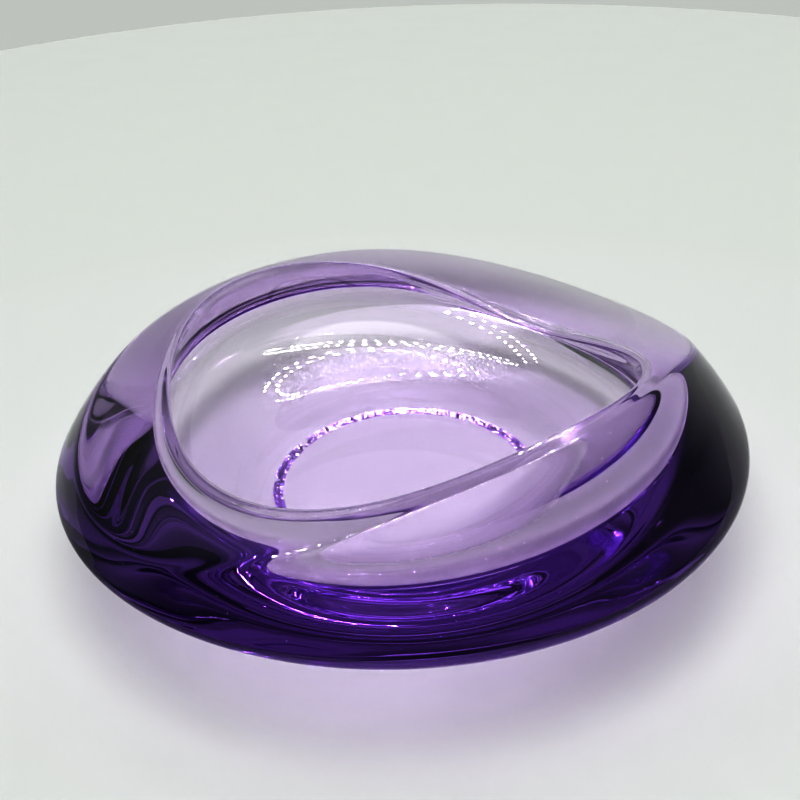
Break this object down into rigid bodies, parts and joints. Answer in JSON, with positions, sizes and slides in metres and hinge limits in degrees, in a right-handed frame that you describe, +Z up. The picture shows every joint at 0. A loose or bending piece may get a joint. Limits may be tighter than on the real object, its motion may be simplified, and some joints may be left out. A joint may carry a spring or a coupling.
{
  "type": "art glass bowl",
  "caption": "Thick-walled violet art glass bowl of two fused gathers, with a hand-twisted rim and a flat ground foot",
  "frame": {"origin": "centre of the flat ground foot, on the table", "axes": "+Z up out of the opening, front towards -Y, +X to the right when seen from the front"},
  "size_m": [0.1555, 0.1568, 0.0498],
  "materials": {
    "lining_glass": "clear violet glass, fire polished inside and at the lip",
    "casing_glass": "clear violet glass, fire polished outside, ground and polished flat on the foot"
  },
  "bodies": {
    "root": {"violet_lining": "lining_glass", "violet_casing": "casing_glass"}
  },
  "joints": []
}
